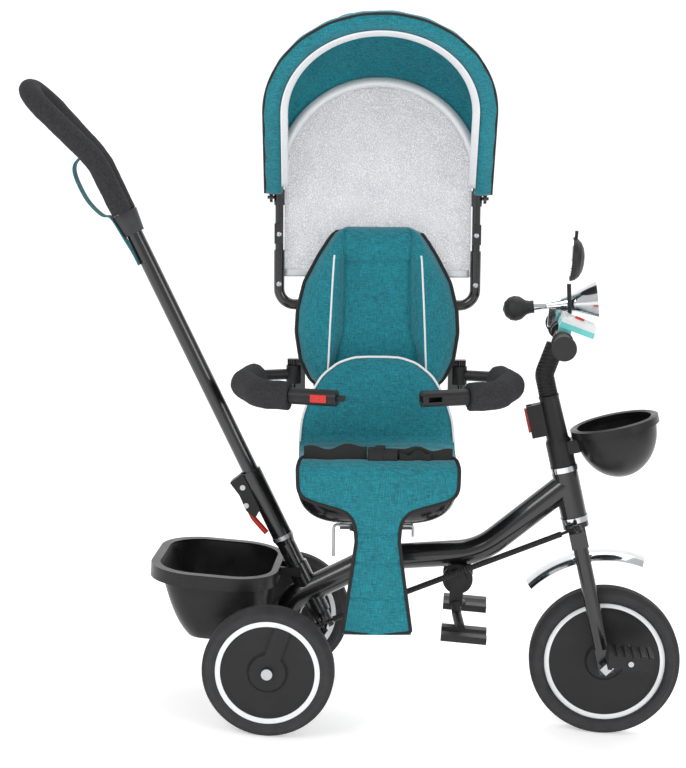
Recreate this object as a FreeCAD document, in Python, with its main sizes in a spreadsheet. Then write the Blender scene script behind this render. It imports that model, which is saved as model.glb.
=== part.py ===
import FreeCAD, Part
import math
import os
import re

import Sketcher
from FreeCAD import Placement, Rotation, Vector

# Children's push tricycle, in millimetres.  +X is forward, +Y is left, +Z is up.  The origin is on the
# floor under the middle of the rear axle.  Three tilted frames carry most pieces: the steering frame at
# the front hub, the push-bar frame where the bar enters the main tube, and the seat frame on the swivel.

DIMENSIONS = {
    # chassis
    "wheelbase": 545, "track_half": 178, "main_tube": 21.5, "tube_wall": 1.5,
    "knee_front_x": 322, "knee_front_z": 289, "seat_post_x": 150, "knee_rear_z": 262,
    "tail_x": 18, "tail_rise": 74, "axle_beam": 14, "axle_rod": 5, "spin_gap": 0.06,
    # wheels
    "front_wheel_radius": 125, "front_tyre_width": 44, "front_rim": 100,
    "rear_wheel_radius": 106.5, "rear_tyre_width": 38, "rear_rim": 84,
    "ring_width": 8, "disc_width": 26, "hub_boss": 33,
    # steering
    "head_lean": 17, "crown_gap": 80, "head_tube": 21.5, "head_length": 88, "steerer": 14,
    "blade": 12.5, "blade_offset": 38, "fender_gap": 63, "fender_width": 58, "fender_angle": 64,
    "collar_radius": 21, "collar_length": 47, "sleeve_radius": 16, "sleeve_length": 72,
    "bar_forward": 39, "bar_height": 550, "bar_radius": 9, "bar_half": 158, "grip_radius": 14.5,
    "bowl_radius": 73, "bowl_depth": 80, "bowl_wall": 2.5, "crank_length": 48, "crank_angle": 48,
    "pedal_out": 102, "link_radius": 2.5, "link_sleeve": 4.75, "link_side": 45,
    # push bar
    "push_lean": 30, "push_base_x": 43.5, "push_tube": 15, "push_socket": 18.5,
    "push_sleeve": 17, "push_inner": 13.4, "foam_radius": 17.5, "handle_start": 700,
    # seat
    "seat_lean": 4, "seat_turn": 4, "seat_rise": 8, "seat_half": 131, "seat_front": 150,
    "seat_back": 70, "shell_low": 70, "shell_rim": 148, "cushion_top": 178, "arm_height": 290,
    "arm_foam": 23, "arm_tube": 9, "arm_pivot_x": 140, "arm_pivot_y": 72, "hoop_half": 165,
    "frame_tube": 9, "hoop_tube": 7, "hoop_y": 100, "bow_half": 178.5, "bow_length": 349,
    "bow_tilt": 32, "canopy_cloth": 3, "pivot_height": 585,
    # rear basket
    "basket_front": -14, "basket_back": -205, "basket_half": 118, "basket_top": 238,
    "basket_floor": 120, "basket_wall": 2.5,
}

doc = FreeCAD.newDocument("tricycle")
sizes = doc.addObject("Spreadsheet::Sheet", "Sizes")
for row, (alias, number) in enumerate(DIMENSIONS.items(), start=1):
    sizes.set(f"A{row}", alias)
    sizes.set(f"B{row}", str(number))
    sizes.setAlias(f"B{row}", alias)
doc.recompute()

nodes = {}


def size(text):
    """The value of an expression over the sheet's names."""
    return float(sizes.evalExpression(str(text)))


def bound(text):
    """The same expression as another object of the document has to write it."""
    return re.sub(r"[a-z]+(?:_[a-z]+)+|wheelbase|steerer|blade", lambda word: "Sizes." + word[0]
                  if word[0] in DIMENSIONS else word[0], str(text))


def node(name, thing):
    thing.Label = name
    nodes[name] = thing
    return thing


ABOUT_X = Vector(1, 0, 0)
ABOUT_Y = Vector(0, 1, 0)
ABOUT_Z = Vector(0, 0, 1)
ALONG_Y = Rotation(ABOUT_X, -90)
ALONG_X = Rotation(ABOUT_Y, 90)

steer = Placement(Vector(size("wheelbase"), 0, size("front_wheel_radius")),
                  Rotation(ABOUT_Y, -size("head_lean")))
tail_low = Vector(size("tail_x"), 0, size("rear_wheel_radius + tail_rise"))
knee_rear = Vector(size("seat_post_x"), 0, size("knee_rear_z"))
push_share = (size("push_base_x") - tail_low.x) / (knee_rear.x - tail_low.x)
push_base = tail_low + (knee_rear - tail_low) * push_share
push = Placement(push_base, Rotation(ABOUT_Y, -size("push_lean")))
seat = Placement(knee_rear + Vector(0, 0, size("seat_rise")),
                 Rotation(ABOUT_Y, -size("seat_lean")).multiply(Rotation(ABOUT_Z, size("seat_turn"))))
world = Placement()


def at(frame, x=0.0, y=0.0, z=0.0, turn=None):
    """A placement inside one of the frames."""
    return frame.multiply(Placement(Vector(x, y, z), turn or Rotation()))


def primitive(kind, name, placement, **expressions):
    """A Part primitive whose sizes are bound to the sheet."""
    thing = doc.addObject("Part::" + kind, name)
    for prop, text in expressions.items():
        thing.setExpression(prop, bound(text))
    thing.Placement = placement
    return thing


def rod(name, placement, radius, length):
    return primitive("Cylinder", name, placement, Radius=radius, Height=length)


def box(name, frame, corner, lengths, turn=None):
    """A block from its low corner; both are expressions."""
    x, y, z = (size(text) for text in corner)
    return primitive("Box", name, at(frame, x, y, z, turn), Length=lengths[0], Width=lengths[1],
                     Height=lengths[2])


def fused(name, *things):
    joined = doc.addObject("Part::MultiFuse", name)
    joined.Shapes = list(things)
    return joined


def cut(name, base, tool):
    rest = doc.addObject("Part::Cut", name)
    rest.Base = base
    rest.Tool = tool
    return rest


def shaped(name, shape, frame=world):
    """A feature for swept and lofted pieces, shaped from the sheet's values."""
    thing = doc.addObject("Part::Feature", name)
    within = shape.Placement
    thing.Shape = shape
    thing.Placement = frame.multiply(within)
    return thing


def outline(sketch, points):
    """A closed outline whose corners are bound to expressions, counted from the sketch's origin."""
    spots = [Vector(size(across), size(up), 0) for across, up in points]
    for first, last in zip(spots, spots[1:] + spots[:1]):
        sketch.addGeometry(Part.LineSegment(first, last))
    count = len(spots)
    for index, (across, up) in enumerate(points):
        before = (index - 1) % count
        sketch.addConstraint(Sketcher.Constraint("Coincident", before, 2, index, 1))
        for kind, text, value in (("DistanceX", across, spots[index].x), ("DistanceY", up, spots[index].y)):
            held = sketch.addConstraint(Sketcher.Constraint(kind, -1, 1, index, 1, value))
            sketch.setExpression(f"Constraints[{held}]", bound(text))


def sketch_on(body, role, name):
    sketch = body.newObject("Sketcher::SketchObject", name)
    plane = [face for face in body.Origin.OriginFeatures if face.Role == role][0]
    sketch.AttachmentSupport = (plane, [""])
    sketch.MapMode = "FlatFace"
    return sketch


def rounded(body, radius, chosen):
    """Fillet the edges of the body's tip that the test picks."""
    doc.recompute()
    base = body.Tip
    names = [f"Edge{number}" for number, edge in enumerate(base.Shape.Edges, start=1) if chosen(edge)]
    fillet = body.newObject("PartDesign::Fillet", body.Name + "_round")
    fillet.Base = (base, names)
    fillet.setExpression("Radius", bound(radius))
    return body


def turned(name, placement, points):
    """A body turned about its own Z from an outline of radius and height."""
    body = doc.addObject("PartDesign::Body", name)
    sketch = sketch_on(body, "XZ_Plane", name + "_profile")
    outline(sketch, points)
    turn = body.newObject("PartDesign::Revolution", name + "_turn")
    turn.Profile = sketch
    turn.ReferenceAxis = (sketch, ["V_Axis"])
    turn.Angle = 360
    body.Placement = placement
    return body


def plate(name, placement, points, thickness):
    """A body padded from an outline on its own XY plane."""
    body = doc.addObject("PartDesign::Body", name)
    sketch = sketch_on(body, "XY_Plane", name + "_profile")
    outline(sketch, points)
    pad = body.newObject("PartDesign::Pad", name + "_pad")
    pad.Profile = sketch
    pad.setExpression("Length", bound(thickness))
    body.Placement = placement
    return body


def bent_path(points, bend):
    """Straight runs joined by tangent arcs; bend is one radius or one for each corner."""
    corners = [Vector(*point) for point in points]
    bends = bend if isinstance(bend, list) else [bend] * (len(corners) - 2)
    edges = []
    start = corners[0]
    for before, corner, after, radius in zip(corners, corners[1:], corners[2:], bends):
        into = (corner - before).normalize()
        out = (after - corner).normalize()
        half = into.getAngle(out) / 2
        reach = radius * math.tan(half)
        inward = (out - into).normalize()
        centre = corner + inward * (radius / math.cos(half))
        first = corner - into * reach
        last = corner + out * reach
        edges.append(Part.LineSegment(start, first).toShape())
        edges.append(Part.Arc(first, centre - inward * radius, last).toShape())
        start = last
    edges.append(Part.LineSegment(start, corners[-1]).toShape())
    return Part.Wire(edges)


def swept(points, bend, radius, wall=0.0):
    """A round bar or tube along a bent path."""
    path = bent_path(points, bend)
    heading = Vector(*points[1]) - Vector(*points[0])
    solids = []
    for ring in (radius, radius - wall) if wall else (radius,):
        circle = Part.Wire(Part.Circle(Vector(*points[0]), heading, ring).toShape())
        solids.append(path.makePipeShell([circle], True, False))
    return solids[0].cut(solids[1]) if wall else solids[0]


def rounded_rectangle(low, high, corner, z):
    """A horizontal wire with round corners."""
    (x0, y0), (x1, y1) = low, high
    diagonal = corner * (1 - math.sqrt(0.5))
    spots = [(x0 + corner, y0), (x1 - corner, y0), (x1, y0 + corner), (x1, y1 - corner),
             (x1 - corner, y1), (x0 + corner, y1), (x0, y1 - corner), (x0, y0 + corner)]
    middles = [(x1 - diagonal, y0 + diagonal), (x1 - diagonal, y1 - diagonal),
               (x0 + diagonal, y1 - diagonal), (x0 + diagonal, y0 + diagonal)]
    edges = []
    for side in range(4):
        first, last, after = (Vector(*spots[(2 * side + step) % 8], z) for step in range(3))
        edges.append(Part.LineSegment(first, last).toShape())
        edges.append(Part.Arc(last, Vector(*middles[side], z), after).toShape())
    return Part.Wire(edges)


def tray(levels, wall):
    """An open tray lofted through rounded rectangles; each level is low, high, corner, height."""
    outer = Part.makeLoft([rounded_rectangle(*level) for level in levels], True, False)
    inner = []
    for (x0, y0), (x1, y1), corner, z in levels:
        inner.append(rounded_rectangle((x0 + wall, y0 + wall), (x1 - wall, y1 - wall), corner - wall, z))
    floor = levels[0][3] + wall
    hollow = Part.makeLoft(inner, True, False)
    above = Part.makeBox(4000, 4000, 4000, Vector(-2000, -2000, floor))
    return outer.cut(hollow.common(above))


# ---- chassis: one welded frame of round steel tube -------------------------------------------------
wall = size("tube_wall")
head_low = size("front_wheel_radius + crown_gap + 40")
head_mid = steer.multVec(Vector(0, 0, head_low + 60))
axle_height = size("rear_wheel_radius")
main_points = [tuple(head_mid), (size("knee_front_x"), 0, size("knee_front_z")), tuple(knee_rear),
               tuple(tail_low), (0, 0, axle_height)]
main_tube = shaped("main_tube", swept(main_points, [110, 90, 40], size("main_tube"), wall))
head_outer = rod("head_outer", at(steer, z=head_low), "head_tube", "head_length")
beam_half = size("track_half - rear_tyre_width / 2 - 8")
beam = rod("beam", at(world, 0, -beam_half, axle_height, ALONG_Y), "axle_beam",
           "2 * (track_half - rear_tyre_width / 2 - 8)")
socket = rod("socket", at(push, z=-42), "push_socket", "92")
seat_post = rod("seat_post", at(seat, z=size("-seat_rise")), "17", "seat_rise + 43")
seat_flange = rod("seat_flange", at(seat, z=42), "45", "5")
weldment = fused("weldment", main_tube, head_outer, beam, socket, seat_post, seat_flange)
axle_hole = rod("axle_hole", at(world, 0, -beam_half - 5, axle_height, ALONG_Y), "axle_rod",
                "2 * (track_half - rear_tyre_width / 2 - 8) + 10")
head_hole = rod("head_hole", at(steer, z=head_low - 5), "steerer + spin_gap", "head_length + 10")
push_hole = rod("push_hole", at(push, z=-75), "push_tube + spin_gap", "140")
swivel_hole = rod("swivel_hole", at(seat, z=20), "8", "40")
holes = fused("holes", axle_hole, head_hole, push_hole, swivel_hole)
node("main_frame", cut("frame_cut", weldment, holes))

cup_outline = [("head_tube + 0.5", "0"), ("head_tube + 2.5", "0"), ("head_tube + 2.5", "9"),
               ("steerer + 1", "9"), ("steerer + 1", "5"), ("head_tube + 0.5", "5")]
cups = [turned("cup_low", at(steer, z=head_low + 5, turn=Rotation(ABOUT_X, 180)), cup_outline),
        turned("cup_high", at(steer, z=head_low + size("head_length") - 5), cup_outline)]
node("head_bearing_cups", fused("bearing_cups", *cups))

rod_half = size("track_half + rear_tyre_width / 2 + 6")
node("rear_axle", fused("axle_set",
     rod("rear_rod", at(world, 0, -rod_half, axle_height, ALONG_Y), "axle_rod",
         "2 * (track_half + rear_tyre_width / 2 + 6)"),
     *(rod(f"axle_nut_{side}", at(world, 0, y, axle_height, ALONG_Y), "9", "5")
       for side, y in (("right", -rod_half), ("left", rod_half - 5)))))


# ---- wheels: tyre, plastic disc and the white ring that covers the joint ---------------------------
def wheel(kind, name, hub, inner, outside=0):
    """Tyre, rim ring and disc turned about the wheel's axle; a rear disc has a moulded arm outside."""
    frame = Placement(hub, ALONG_Y)
    half = f"{kind}_tyre_width / 2"
    rim = f"{kind}_rim"
    tread = f"{kind}_wheel_radius"
    tyre = turned(f"{name}_tyre", frame, [(rim, f"-{half} + 4"), (f"{rim} + 6", f"-{half}"),
                                          (f"{tread} - 11", f"-{half}"), (tread, f"-{half} + 9"),
                                          (tread, f"{half} - 9"), (f"{tread} - 11", half),
                                          (f"{rim} + 6", half), (rim, f"{half} - 4")])
    node(f"{name}_tyre", rounded(tyre, "6", lambda edge: edge.Length > 2 * math.pi * size(rim + " + 3")
                                 and abs(edge.BoundBox.Center.z) > 1))
    node(f"{name}_ring", turned(f"{name}_band", frame, [
        (f"{rim} - ring_width", "-disc_width / 2 - 2"), (rim, "-disc_width / 2 - 2"),
        (rim, "disc_width / 2 + 2"), (f"{rim} - ring_width", "disc_width / 2 + 2")]))
    edge = f"{rim} - ring_width"
    disc = turned(f"{name}_centre", frame, [
        (inner, "-disc_width / 2 - 4"), ("hub_boss - 4", "-disc_width / 2 - 4"),
        ("hub_boss", "-disc_width / 2 + 1"), (f"{edge} - 8", "-disc_width / 2 + 1"),
        (edge, "-disc_width / 2"), (edge, "disc_width / 2"), (f"{edge} - 8", "disc_width / 2 - 1"),
        ("hub_boss", "disc_width / 2 - 1"), ("hub_boss - 4", "disc_width / 2 + 4"),
        (inner, "disc_width / 2 + 4")])
    if outside:
        arm_frame = frame.multiply(Placement(Vector(), Rotation(ABOUT_Z, 15 - 90)))
        low = size("disc_width / 2 - 2") if outside > 0 else -size("disc_width / 2") - 4
        arm = box(f"{name}_arm", arm_frame, (20, "-13", low), (f"{edge} - 21", "26", "6"))
        disc = fused(f"{name}_moulding", disc, arm)
    node(f"{name}_disc", disc)


track = size("track_half")
wheel("front", "front_wheel", Vector(steer.Base), "axle_rod")
wheel("rear", "rear_wheel_left", Vector(0, track, axle_height), "axle_rod + spin_gap", 1)
wheel("rear", "rear_wheel_right", Vector(0, -track, axle_height), "axle_rod + spin_gap", -1)

# one-piece crankshaft: axle, two arms and two pedal pins, turning with the front wheel
hub = Placement(Vector(steer.Base), Rotation(ABOUT_Y, -size("crank_angle")))
arm_out = size("blade_offset") + 26
crank_pieces = [rod("hub_rod", at(hub, 0, -arm_out, 0, ALONG_Y), "axle_rod", "2 * (blade_offset + 26)")]
for side, way in (("right", -1), ("left", 1)):
    low = min(way * arm_out, way * (arm_out - 9))
    reach = -size("crank_length") - 7 if way > 0 else -7
    crank_pieces.append(box(f"crank_arm_{side}", hub, (reach, low, "-7"), ("crank_length + 14", "9", "14")))
    pin_low = min(way * (arm_out - 2), way * size("pedal_out + 36"))
    crank_pieces.append(rod(f"pedal_pin_{side}", at(hub, -way * size("crank_length"), pin_low, 0, ALONG_Y),
                            "4.5", "pedal_out + 36 - (blade_offset + 24)"))
node("crankshaft", fused("crank_set", *crank_pieces))

for side, way in (("right", -1), ("left", 1)):
    centre = hub.multVec(Vector(-way * size("crank_length"), way * size("pedal_out"), 0))
    pedal_frame = Placement(centre, Rotation())
    block = box(f"pedal_block_{side}", pedal_frame, ("-36", "-33", "-13"), ("72", "66", "26"))
    cutters = [rod(f"pedal_bore_{side}", at(pedal_frame, 0, -40, 0, ALONG_Y), "4.5 + spin_gap", "80")]
    for slot in range(5):
        for face, low in (("low", -16), ("high", 10)):
            cutters.append(box(f"pedal_slot_{side}_{face}_{slot}", pedal_frame, (-29 + 13 * slot, -40, low),
                               ("6", "80", "6")))
    node(f"pedal_{side}", cut(f"pedal_cut_{side}", block, fused(f"pedal_cutters_{side}", *cutters)))

# ---- fork, mudguard and stem, in the steering frame --------------------------------------------------
crown_low = size("front_wheel_radius + crown_gap")
crown_half = size("blade_offset + blade")
fork_pieces = [box("crown", steer, ("-14", "-blade_offset - blade", "front_wheel_radius + crown_gap"),
                   ("28", "2 * (blade_offset + blade)", "26")),
               rod("steerer_tube", at(steer, z=crown_low + 20), "steerer",
                  "head_length + collar_length + sleeve_length + 24.5"),
               rod("crown_race", at(steer, z=crown_low + 26), "head_tube", "8.5")]
for side, way in (("right", -1), ("left", 1)):
    y = way * size("blade_offset")
    fork_pieces.append(rod(f"blade_{side}", at(steer, 0, y, 30), "blade", "front_wheel_radius + crown_gap - 25"))
    fork_pieces.append(box(f"dropout_{side}", steer, (-12, y - 2.5, "-14"), ("24", "5", "52")))
lug = rod("link_lug", at(steer, 0, -size("link_side"), crown_low + 22), "4", "17")
fork_pieces.append(lug)
fork_blank = fused("fork_blank", *fork_pieces)
fork_hole = rod("fork_hole", at(Placement(Vector(steer.Base), Rotation()), 0, -crown_half - 9, 0, ALONG_Y),
                "axle_rod + spin_gap", "2 * (blade_offset + blade) + 18")
stem_top = head_low + size("head_length + 4.5 + collar_length + sleeve_length")
stem_bore = rod("stem_bore", at(steer, z=stem_top - 60), "10 + spin_gap", "70")
node("fork", cut("fork_cut", fork_blank, fused("fork_room", fork_hole, stem_bore)))

fender_radius = size("front_wheel_radius + fender_gap")
fender_half = size("fender_width") / 2
outer_arc = Part.Arc(Vector(0, -fender_half, fender_radius - 12), Vector(0, 0, fender_radius),
                     Vector(0, fender_half, fender_radius - 12)).toShape()
inner_arc = Part.Arc(Vector(0, fender_half, fender_radius - 14), Vector(0, 0, fender_radius - 2),
                     Vector(0, -fender_half, fender_radius - 14)).toShape()
edge_left = Part.LineSegment(Vector(0, fender_half, fender_radius - 12),
                             Vector(0, fender_half, fender_radius - 14)).toShape()
edge_right = Part.LineSegment(Vector(0, -fender_half, fender_radius - 14),
                              Vector(0, -fender_half, fender_radius - 12)).toShape()
fender_face = Part.Face(Part.Wire([outer_arc, edge_left, inner_arc, edge_right]))
fender_face.rotate(Vector(), ABOUT_Y, -size("fender_angle") / 2)
guard = shaped("guard", fender_face.revolve(Vector(), ABOUT_Y, size("fender_angle")), steer)
stay = box("stay", steer, ("-9", "-14", fender_radius - 1.5), ("18", "28", "crown_gap - fender_gap + 1.5"))
blade_room = fused("blade_room", *(rod(f"blade_room_{side}", at(steer, 0, way * size("blade_offset"), 60),
                                       "blade + 1", "200") for side, way in (("right", -1), ("left", 1))))
node("front_mudguard", cut("guard_trim", fused("guard_set", guard, stay), blade_room))

collar_low = head_low + size("head_length") + 4.5
sleeve_low = collar_low + size("collar_length")
collar = turned("collar", at(steer, z=collar_low), [
    ("steerer", "0"), ("collar_radius", "0"), ("collar_radius", "collar_length - 6"),
    ("collar_radius - 3", "collar_length"), ("sleeve_radius", "collar_length + sleeve_length - 4"),
    ("sleeve_radius + 0.8", "collar_length + sleeve_length - 3"),
    ("sleeve_radius + 0.8", "collar_length + sleeve_length"), ("steerer", "collar_length + sleeve_length")])
housing = box("stem_block", steer, (-40, -11, sleeve_low + 8), ("26", "22", "54"))
slot_room = box("slot_room", steer, (-42, -6, sleeve_low + 16), ("11", "12", "60"))
steerer_room = rod("steerer_room", at(steer, z=collar_low - 1), "steerer", "200")
node("stem_collar", cut("collar_cut", fused("collar_blank", collar, housing),
                        fused("collar_room", slot_room, steerer_room)))
node("stem_clamp_lever", box("stem_lever", steer, (-44, -5, sleeve_low + 18), ("7", "10", "40")))

# handlebar: the steerer's top runs into a short forward bend that carries the cross bar
bar_x = size("bar_forward")
bar_z = size("bar_height")
stem_points = [(0, 0, stem_top - 58), (0, 0, stem_top + 36), (bar_x, 0, bar_z)]
neck = shaped("neck", swept(stem_points, 24, 10), steer)
bar = rod("cross_bar", at(steer, bar_x, -size("bar_half"), bar_z, ALONG_Y), "bar_radius", "2 * bar_half")
cover_points = [(0, 0, stem_top + 1), (0, 0, stem_top + 36), (bar_x * 0.72, 0, bar_z - 14)]
cover_room = shaped("cover_room", swept(stem_points, 24, 10), steer)
cover_blank = shaped("cover_blank", swept(cover_points, 24, 15.5), steer)
node("handlebar", fused("handlebar_set", neck, bar))
node("stem_cover", cut("cover_cut", cover_blank, cover_room))
grips = []
for side, way in (("right", -1), ("left", 1)):
    y = way * size("bar_half + 4")
    turn = ALONG_Y if way < 0 else Rotation(ABOUT_X, 90)
    grips.append(turned(f"grip_{side}", at(steer, bar_x, y, bar_z, turn), [
        ("0", "0"), ("grip_radius + 5", "0"), ("grip_radius + 5", "5"), ("grip_radius", "7"),
        ("grip_radius", "70"), ("grip_radius + 3", "74"), ("grip_radius + 3", "78"),
        ("bar_radius", "78"), ("bar_radius", "4"), ("0", "4")]))
node("handlebar_grips", fused("grip_pair", *grips))

# accessories on the bar: music box, mirror and squeeze horn
bar_spot = steer.multVec(Vector(bar_x, 0, bar_z))
accessory = Placement(bar_spot + Vector(25.5, 0, 18.6), Rotation(ABOUT_Y, 16))
music_tray = box("music_tray", accessory, ("-29", "-34", "-9"), ("58", "68", "9"))
music_foot = shaped("music_foot", Part.makeBox(20, 30, 31, bar_spot + Vector(-4, -15, -12)))
foot_room = rod("foot_room", at(steer, bar_x, -40, bar_z, ALONG_Y), "bar_radius", "80")
neck_room = shaped("neck_room", swept(stem_points, 24, 10), steer)
node("music_box_base", cut("base_cut", fused("base_blank", music_tray, music_foot),
                           fused("base_room", foot_room, neck_room)))
music_lid = box("music_lid", accessory, ("-28", "-33", "0"), ("56", "66", "10"))
key_hole = rod("key_hole", at(accessory, z=5), "8.2", "10")
node("music_box_cover", cut("lid_cut", music_lid, key_hole))
node("music_button", rod("key", at(accessory, z=8), "8", "5"))

mirror_y = 42
mirror_foot = Vector(bar_spot.x, mirror_y, bar_spot.z)
mirror_frame = Placement(mirror_foot, Rotation())
clamp_ring = cut("mirror_clamp", rod("clamp_outer", at(mirror_frame, 0, -7, 0, ALONG_Y), "14", "14"),
                 rod("clamp_inner", at(mirror_frame, 0, -8, 0, ALONG_Y), "bar_radius", "16"))
stalk = shaped("stalk", swept([(8, 0, 10), (14, 0, 30), (8, 0, 80)], 20, 3.5), mirror_frame)
node("mirror_stalk", fused("stalk_set", clamp_ring, stalk))
mirror_pivot = mirror_foot + Vector(8, 0, 84)
dome = turned("mirror_dome", Placement(mirror_pivot + Vector(0, 0, 37), ALONG_X), [
    ("0", "0"), ("36", "0"), ("36", "2"), ("34", "8"), ("28", "14.5"), ("19", "19"), ("9", "21"), ("0", "21.5")])
tab = doc.addObject("Part::Box", "mirror_tab")
tab.Length = 5
tab.Width = 12
tab.Height = 16
tab.Placement = Placement(mirror_pivot + Vector(2, -6, 68), Rotation())
ball = primitive("Sphere", "mirror_ball", Placement(mirror_pivot + Vector(0, 0, 1.3), Rotation()), Radius="5.2")
node("mirror_shell", fused("mirror_head", dome, tab, ball))
node("mirror_glass", rod("glass", Placement(mirror_pivot + Vector(-1.6, 0, 37), ALONG_X), "34", "1.6"))

horn_y = 64
horn_frame = Placement(Vector(bar_spot.x - 75.5, horn_y, bar_spot.z + 29.6), Rotation(ABOUT_Y, 90 - 10))
bulb = turned("bulb", horn_frame, [("0", "-21"), ("12", "-17"), ("19", "-9"), ("21", "0"), ("19", "9"),
                                   ("12", "18"), ("10.5", "24"), ("10.5", "31"), ("7", "31"), ("0", "31")])
node("horn_bulb", bulb)
bell = turned("bell", horn_frame, [
    ("0", "31.2"), ("7", "31.2"), ("6", "52"), ("10", "75"), ("18", "100"), ("34", "136"),
    ("32.5", "136"), ("16.5", "101"), ("8.5", "76"), ("4.5", "56"), ("0", "56")])
horn_foot = Placement(Vector(bar_spot.x, horn_y, bar_spot.z), Rotation())
horn_ring = rod("horn_ring", at(horn_foot, 0, -6, 0, ALONG_Y), "13", "12")
horn_link = box("horn_link", horn_foot, (-20, -5, 4), ("26", "10", "34"))
horn_mount = cut("horn_mount", fused("horn_clamp_blank", horn_ring, horn_link),
                 rod("horn_bar", at(horn_foot, 0, -8, 0, ALONG_Y), "bar_radius", "16"))
node("horn_bell", fused("horn_bell_set", bell, horn_mount))

# bowl basket on the stem collar
bowl_x = size("collar_radius + bowl_radius + 1.5")
bowl_z = collar_low + 42
bowl_frame = at(steer, bowl_x, 0, bowl_z)
depth = size("bowl_depth")
bowl_steps = 8
bowl_outer = []
bowl_inner = []
for step in range(bowl_steps + 1):
    angle = math.radians(90 * step / bowl_steps)
    bowl_outer.append(Vector((size("bowl_radius") - 6) * math.sin(angle), 0, -depth * math.cos(angle)))
    bowl_inner.append(Vector((size("bowl_radius - bowl_wall") - 6) * math.sin(angle), 0,
                             -(depth - size("bowl_wall")) * math.cos(angle)))
outer_curve = Part.BSplineCurve()
outer_curve.interpolate(bowl_outer)
inner_curve = Part.BSplineCurve()
inner_curve.interpolate(bowl_inner[::-1])
lip = [bowl_outer[-1], Vector(size("bowl_radius"), 0, 0), Vector(size("bowl_radius"), 0, 12),
       Vector(size("bowl_radius") - 6, 0, 14), Vector(size("bowl_radius - bowl_wall") - 9, 0, 12), bowl_inner[-1]]
bowl_edges = [outer_curve.toShape()]
bowl_edges += [Part.LineSegment(first, last).toShape() for first, last in zip(lip, lip[1:])]
bowl_edges += [inner_curve.toShape(), Part.LineSegment(bowl_inner[0], bowl_outer[0]).toShape()]
bowl_face = Part.Face(Part.Wire(bowl_edges))
bowl = shaped("bowl", bowl_face.revolve(Vector(), ABOUT_Z, 360), bowl_frame)
hanger = box("bowl_hanger", steer, (12, -16, bowl_z - 24), ("20", "32", "22"))
bowl_profile = [outer_curve.toShape(), Part.LineSegment(bowl_outer[-1], Vector()).toShape(),
                Part.LineSegment(Vector(), bowl_outer[0]).toShape()]
bowl_blank = shaped("bowl_blank", Part.Face(Part.Wire(bowl_profile)).revolve(Vector(), ABOUT_Z, 360), bowl_frame)
bowl_room = fused("bowl_room", rod("collar_gap", at(steer, z=collar_low), "collar_radius", "collar_length"),
                  bowl_blank)
node("front_bowl", fused("bowl_set", bowl, cut("hanger_cut", hanger, bowl_room)))

# ---- push bar, in its own frame ----------------------------------------------------------------------
lower = turned("lower_tube", at(push, z=-70), [
    ("0", "0"), ("push_tube", "0"), ("push_tube", "158"), ("push_sleeve", "166"),
    ("push_sleeve", "295"), ("push_inner + 0.1", "295"), ("push_inner + 0.1", "80"), ("0", "80")])
crank = box("link_arm", push, (-9, "-link_side - 9", -66), ("18", "link_side + 9", "6"))
stud = rod("link_stud", at(push, 0, -size("link_side"), -64), "4", "22")
node("push_lower_tube", fused("push_lower_set", lower, crank, stud))
band = turned("band", at(push, z=97), [("push_sleeve", "0"), ("push_sleeve + 1.2", "0"),
                                       ("push_sleeve + 1.2", "7"), ("push_sleeve", "7")])
housing = plate("clamp_plate", at(push, 0, 14, 0, Rotation(ABOUT_X, 90)), [
    ("-38", "222"), ("-12", "228"), ("-12", "160"), ("-26", "150"), ("-34", "168"), ("-33", "196")], "28")
lever_gap = box("lever_gap", push, (-45, -6.5, 140), ("22", "13", "50"))
node("push_clamp_housing", cut("clamp_cut", housing, fused(
    "clamp_room", rod("clamp_core", at(push, z=140), "push_sleeve", "100"), lever_gap)))
lever = shaped("lever_bar", swept([(-31, 0, 182), (-31, 0, 150), (-22, 0, 118)], 30, 4.5), push)
node("push_clamp_lever", lever)
rivets = []
for name, x, z in (("high", -22, 206), ("low", -30, 176)):
    rivets.append(rod(f"rivet_{name}", at(push, x, -15.5, z, ALONG_Y), "4.5", "1.5"))
    rivets.append(rod(f"rivet_far_{name}", at(push, x, 14, z, ALONG_Y), "4.5", "1.5"))
node("push_bar_trim", fused("trim_set", band, *rivets))

grip_low = size("handle_start")
node("push_upper_tube", turned("upper_tube", at(push, z=130), [
    ("push_inner - 1.5", "0"), ("push_inner", "0"), ("push_inner", "handle_start - 130"),
    ("push_inner - 1.5", "handle_start - 130")]))
collar_lift = grip_low - 38
node("push_collar", turned("handle_collar", at(push, z=collar_lift), [
    ("push_inner", "0"), ("push_inner + 4", "0"), ("push_inner + 8", "36"), ("push_inner + 8", "38"),
    ("push_inner", "38")]))
foam_points = [(0, 18, grip_low + 0.3), (0, 22, grip_low + 95), (-50, 50, grip_low + 245),
               (-50, -50, grip_low + 245), (0, -22, grip_low + 95), (0, -18, grip_low + 0.3)]
node("push_handle_foam", shaped("handle_foam", swept(foam_points, [120, 42, 42, 120], size("foam_radius")), push))
strap_points = [(-13.6, 612), (-15.5, 652), (-17.6, 661), (-21.6, 699), (-34, 713), (-45, 746), (-46, 779),
                (-38.5, 803), (-18.5, 812.5), (-18.5, 814.2), (-39.8, 804.8), (-47.6, 779.4), (-46.6, 745.6),
                (-35.3, 712), (-23.2, 698.4), (-19.2, 660.4), (-17.1, 651.6), (-15.2, 612)]
node("wrist_strap", plate("strap", at(push, 0, 15, 0, Rotation(ABOUT_X, 90)),
                          [(str(x), str(z)) for x, z in strap_points], "30"))

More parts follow.
